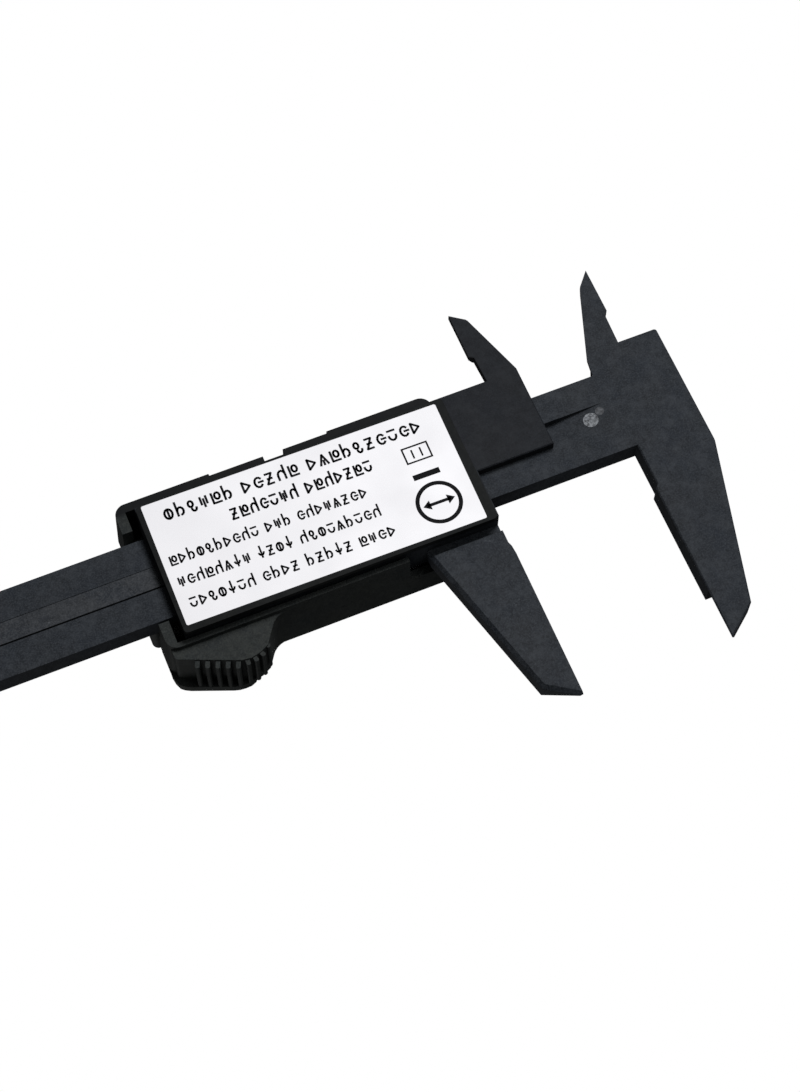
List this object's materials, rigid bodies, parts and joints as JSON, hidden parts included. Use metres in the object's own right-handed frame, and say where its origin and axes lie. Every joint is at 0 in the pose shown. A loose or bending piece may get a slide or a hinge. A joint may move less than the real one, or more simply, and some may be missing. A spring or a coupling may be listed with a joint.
{
  "type": "digital caliper",
  "caption": "Plastic digital caliper with sliding outside and inside jaws, depth rod, display module, press buttons and battery door; measures up to 150 mm.",
  "frame": {"origin": "under the middle of the bounding box, on the plane that the back label rests on, with the jaws open 28 mm", "axes": "+X along the beam from the fixed jaw to the free end, +Y to the inside jaws, +Z to the display"},
  "size_m": [0.263, 0.0772, 0.0159],
  "materials": {
    "jaw_plastic": "carbon-filled matt plastic, fine speckle",
    "housing_plastic": "matt moulded plastic",
    "rod_plastic": "matt moulded plastic, slightly lighter",
    "label_film": "white printed film",
    "scale_print": "printed film",
    "front_print": "printed film",
    "board_laminate": "coated laminate",
    "screw_steel": "zinc plated",
    "spring_steel": "plated spring sheet",
    "gib_brass": "rolled sheet",
    "chip_resin": "moulded resin",
    "lcd_glass": "reflective liquid crystal",
    "clear_window": "clear acrylic",
    "holder_plastic": "white moulded plastic",
    "connector_rubber": "layered elastomer",
    "cell_steel": "nickel plated",
    "button_plastic": "moulded plastic"
  },
  "bodies": {
    "beam_assembly": {"beam": "jaw_plastic", "stator_strip": "board_laminate", "scale_film": "scale_print", "end_stop": "housing_plastic", "end_stop_screws": "screw_steel"},
    "slider_assembly": {"slider_frame": "jaw_plastic", "gib_strip": "gib_brass", "gib_spring": "spring_steel", "depth_rod": "rod_plastic", "depth_rod_screw": "screw_steel", "back_plate": "housing_plastic", "cover_screws": "screw_steel", "back_label": "label_film", "front_cover": "housing_plastic", "display_window": "clear_window", "front_overlay": "front_print", "circuit_board": "board_laminate", "processor_chip": "chip_resin", "board_components": "chip_resin", "contact_domes": "spring_steel", "lcd_glass": "lcd_glass", "lcd_holder": "holder_plastic", "elastomer_connector": "connector_rubber", "battery_tray": "holder_plastic", "battery_cell": "cell_steel", "battery_contact_negative": "spring_steel", "battery_contact_positive": "spring_steel"},
    "battery_door_body": {"battery_door": "housing_plastic"},
    "button_power_body": {"button_power": "button_plastic"},
    "button_zero_body": {"button_zero": "button_plastic"},
    "button_unit_body": {"button_unit": "button_plastic"}
  },
  "joints": [
    {"name": "slider_slide", "type": "slide", "parent": "beam_assembly", "child": "slider_assembly", "axis": [1, 0, 0], "range_m": [-0.02795, 0.122]},
    {"name": "battery_door_slide", "type": "slide", "parent": "slider_assembly", "child": "battery_door_body", "axis": [1, 0, 0], "range_m": [0, 0.018]},
    {"name": "button_power_press", "type": "slide", "parent": "slider_assembly", "child": "button_power_body", "axis": [0, 0, -1], "range_m": [0, 0.00045], "stiffness_N_per_m": 2500},
    {"name": "button_zero_press", "type": "slide", "parent": "slider_assembly", "child": "button_zero_body", "axis": [0, 0, -1], "range_m": [0, 0.00045], "stiffness_N_per_m": 2500},
    {"name": "button_unit_press", "type": "slide", "parent": "slider_assembly", "child": "button_unit_body", "axis": [0, 0, -1], "range_m": [0, 0.00045], "stiffness_N_per_m": 2500}
  ]
}
